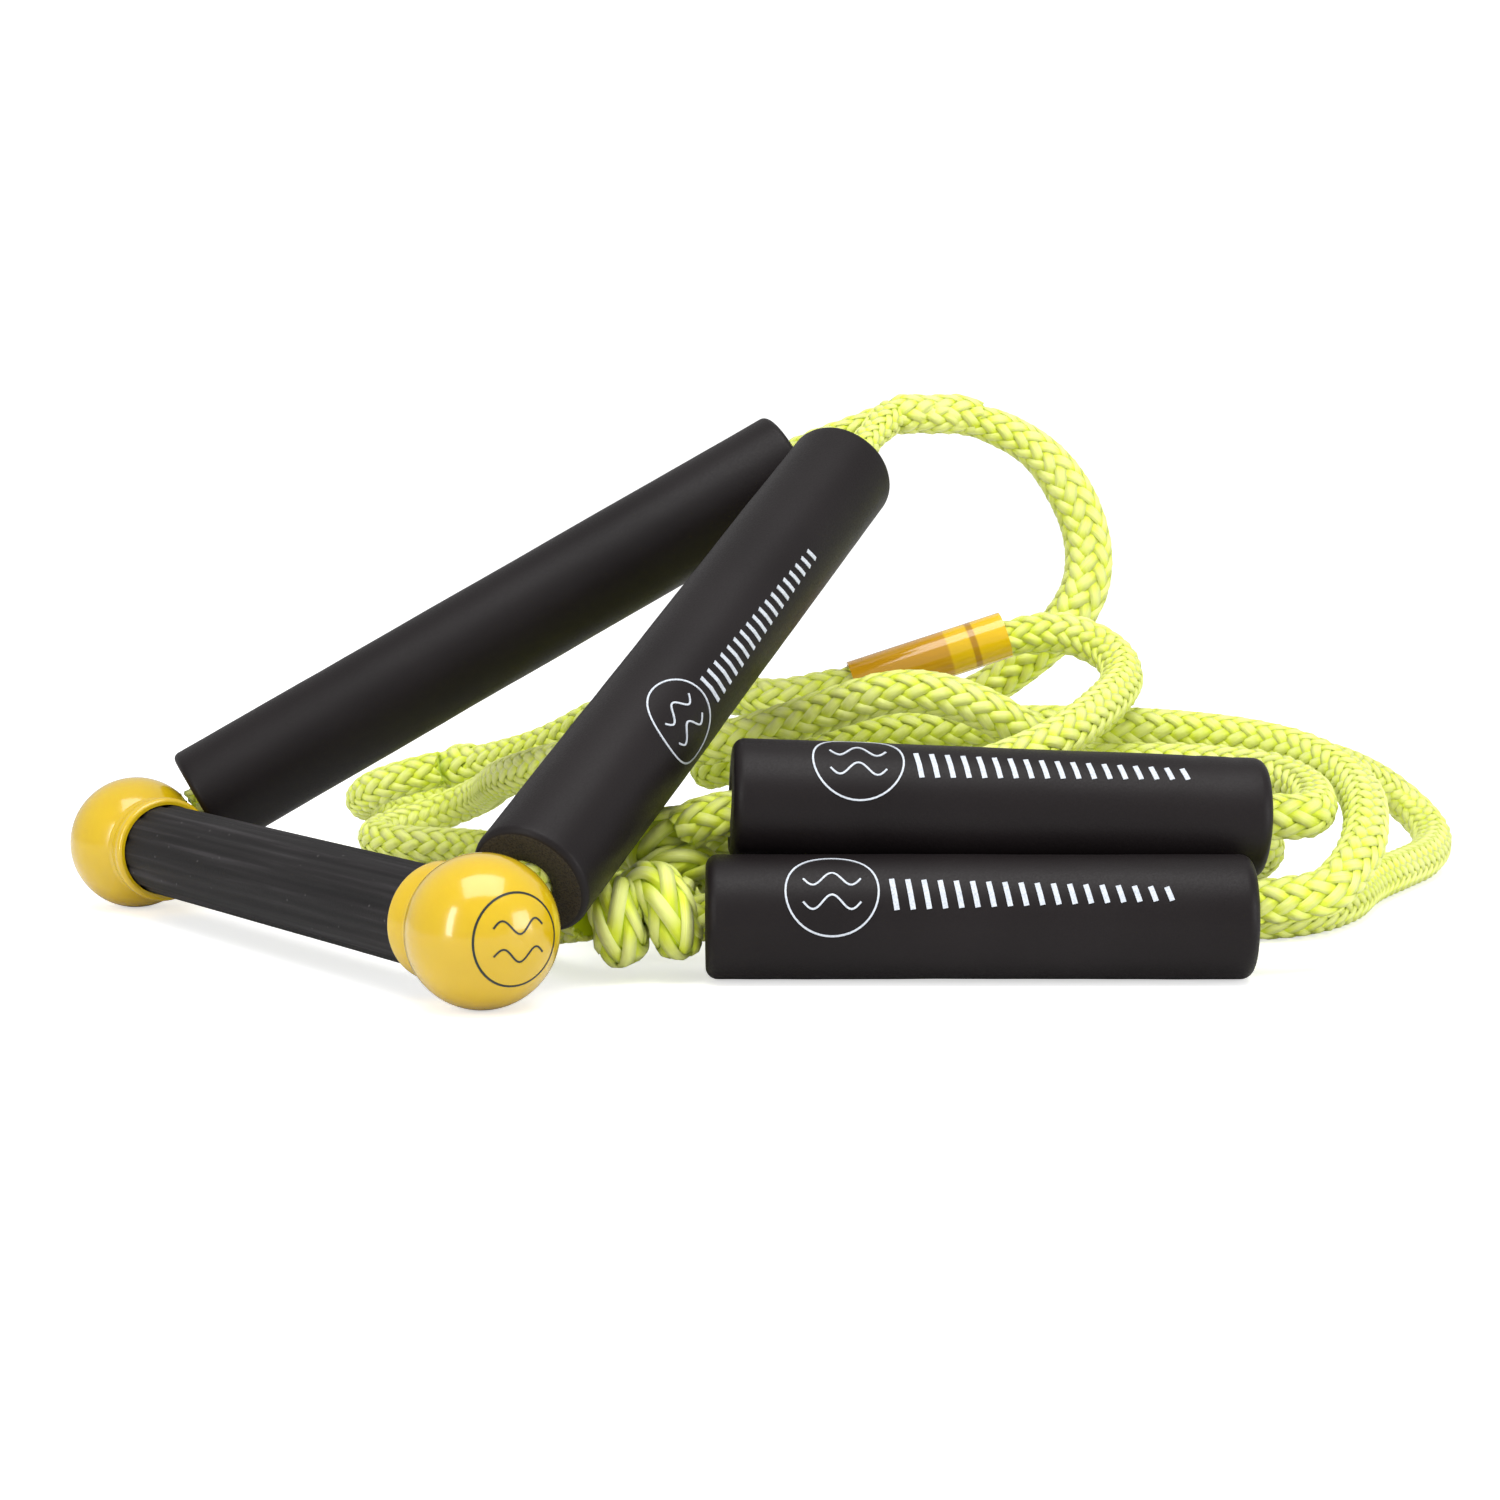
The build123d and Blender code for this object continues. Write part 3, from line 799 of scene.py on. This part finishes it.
splicePath = smoothPath([crotch, (.1395, .0155, .1862), (.153, .011, .186), (.160, .0077, .183)])
splice = braidAlong("apexSpliceBraid", splicePath, girthAlong(splicePath, (
    (0, 0.8), (0.006, 1.02), (0.018, 0.86), (0.03, 0.98), (0.05, 0.85))), step=0.0012)
throughBar = braidAlong("ropeThroughBar", smoothPath([
    nearBall + nearOut * 0.0225, nearBall + nearOut * 0.008,
    nearBall + Vector((0, 0.008, 0)), nearBall + Vector((0, 0.02, 0)),
    farBall - Vector((0, 0.02, 0)), farBall - Vector((0, 0.008, 0)),
    farBall + farOut * 0.008, farBall + farOut * 0.0225]))
for piece, node, body in ((legNear, "bridle_leg_near", "rope"), (legFar, "bridle_leg_far", "rope"),
                          (splice, "bridle_splice", "rope"), (throughBar, "rope_in_bar", "bar")):
    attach(piece, body)
    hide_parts(node)
print("bridle made")

# ---- grip
grip = {
    "radius": 0.0165,
    "bore": 0.0112,
    "end": 0.1064,
    "edge": 0.0006,
    "flutes": 10,
    "fluteDepth": 0.0007,
    "ribDepth": 0.00012,
    "dent": 0.0001,
    "around": 160,
    "rows": 90,
}


def makeGrip(g):
    # a foam tube with flutes along it and fine ribs between them
    mesh = bmesh.new()
    rings = []
    end, edge, radius, bore = g["end"], g["edge"], g["radius"], g["bore"]
    outline = [(-end, bore), (-end, radius - edge), (-end + edge, radius)]
    outline += [(-end + edge + 2 * (end - edge) * i / g["rows"], radius) for i in range(1, g["rows"])]
    outline += [(end - edge, radius), (end, radius - edge), (end, bore)]
    for y, r in outline:
        ring = []
        for j in range(g["around"]):
            a = math.tau * j / g["around"]
            depth = 0.0
            if r > bore:
                share = (a * g["flutes"] / math.tau) % 1.0
                depth = g["fluteDepth"] * max(0.0, 1 - ((share - 0.5) / 0.2) ** 2)
                depth += g["ribDepth"] * (1 - math.cos(math.tau * share * 5)) / 2
                depth -= g["dent"] * noise.noise(Vector((math.cos(a) * 5, math.sin(a) * 5, y * 14)))
            ring.append(mesh.verts.new((barCentre[0] + (r - depth) * math.cos(a), y,
                                        barCentre[2] + (r - depth) * math.sin(a))))
        rings.append(ring)
    for ring, after in zip(rings, rings[1:] + rings[:1]):
        for j in range(g["around"]):
            k = (j + 1) % g["around"]
            mesh.faces.new((ring[j], ring[k], after[k], after[j]))
    bmesh.ops.recalc_face_normals(mesh, faces=mesh.faces)
    for face in mesh.faces:
        face.smooth = True
    data = bpy.data.meshes.new("gripFoamTube")
    mesh.to_mesh(data)
    mesh.free()
    data.materials.append(gripMaterial)
    return linkPiece("gripFoamTube", data)


gripPiece = makeGrip(grip)
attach(gripPiece, "bar")
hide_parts("grip")
print("grip made")

# ---- CAD nodes that stay
for node, material in (("cap_near", capMaterial), ("cap_far", capMaterial), ("bar_tube", barMaterial),
                       ("take_off_sleeve", sleeveMaterial)):
    for slotOfNode in cadNodes[node].material_slots:
        slotOfNode.material = material

# ---- the mark on the end of each cap
capPrint = {"ringRadius": 0.0144, "line": 0.0006, "proud": 0.00012, "sunk": 0.0005}


def printOnCap(name, node, ball, side, p):
    # the strokes lie on a plane off the cap's end and drop on to its surface
    tree = BVHTree.FromObject(cadNodes[node], bpy.context.evaluated_depsgraph_get())
    r = p["ringRadius"]

    def onCap(x, z, height):
        hit = tree.ray_cast(ball + Vector((x, side * 0.04, z)), Vector((0, -side, 0)))[0]
        return hit + (hit - ball).normalized() * height

    line = [ringStroke(0, 0, r), waveStroke(0, r * 0.3, r * 0.6, r * 0.15),
            waveStroke(0, -r * 0.3, r * 0.6, r * 0.15)]
    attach(printStrokes(name, line, p["line"], onCap, p["proud"], p["sunk"], darkInkMaterial), "bar")


printOnCap("capNearPrint", "cap_near", nearBall, -1, capPrint)
printOnCap("capFarPrint", "cap_far", farBall, 1, capPrint)
print("cap marks made")


# ---- floor and light
studio = {
    "floorReach": 12,
    "floorDrop": 0.0002,
    "floorTint": (0.8, 0.85),      # as it lights the object, as the camera sees it
    "floorGlow": 0.6,
    "air": (0.62, 1.2),            # as it lights the object, as the camera sees it
    "lights": {                    # place, aim, size, power
        "topSoftbox": ((-0.2, -0.5, 1.7), (0.05, 0, 0), (1.6, 1.2), 25),
        "leftStrip": ((-1.6, -0.5, 0.55), (-0.05, 0, 0.05), (0.3, 1.1), 9),
        "rightFill": ((0.8, -1.5, 0.35), (0.1, -0.1, 0.05), (0.7, 0.7), 8),
    },
}


def makeStudio(setup):
    floorMesh = bpy.data.meshes.new("floor")
    reach = setup["floorReach"]
    floorMesh.from_pydata([(-reach, -reach, 0), (reach, -reach, 0), (reach, reach, 0), (-reach, reach, 0)],
                          [], [(0, 1, 2, 3)])
    floor = linkPiece("floor", floorMesh)
    material, tree, shader = newMaterial("paleFloor", Roughness=0.8)
    sight = addNode(tree, "ShaderNodeLightPath").outputs["Is Camera Ray"]
    tint = addNode(tree, "ShaderNodeMapRange", inputs={
        "Value": sight, "To Min": setup["floorTint"][0], "To Max": setup["floorTint"][1]})
    glow = addNode(tree, "ShaderNodeMath", operation="MULTIPLY", inputs={0: sight, 1: setup["floorGlow"]})
    linkNodes(tree, (tint.outputs[0], shader.inputs["Base Color"]),
              (glow.outputs[0], shader.inputs["Emission Strength"]))
    shader.inputs["Emission Color"].default_value = (1, 1, 1, 1)
    floorMesh.materials.append(material)
    floor.location.z = -setup["floorDrop"]
    bpy.context.scene.view_settings.view_transform = "Standard"
    world = bpy.data.worlds.new("studio")
    bpy.context.scene.world = world
    world.use_nodes = True
    air = world.node_tree
    background = air.nodes["Background"]
    background.inputs["Color"].default_value = (1, 1, 1, 1)
    seen = addNode(air, "ShaderNodeLightPath").outputs["Is Camera Ray"]
    strength = addNode(air, "ShaderNodeMapRange", inputs={
        "Value": seen, "To Min": setup["air"][0], "To Max": setup["air"][1]})
    linkNodes(air, (strength.outputs[0], background.inputs["Strength"]))
    for name, (place, aim, size, power) in setup["lights"].items():
        light = bpy.data.lights.new(name, "AREA")
        light.shape = "RECTANGLE"
        light.size, light.size_y = size
        light.energy = power
        lamp = bpy.data.objects.new(name, light)
        bpy.context.collection.objects.link(lamp)
        lamp.location = place
        lamp.rotation_euler = (Vector(aim) - Vector(place)).to_track_quat("-Z", "Y").to_euler()


makeStudio(studio)
print("studio made")
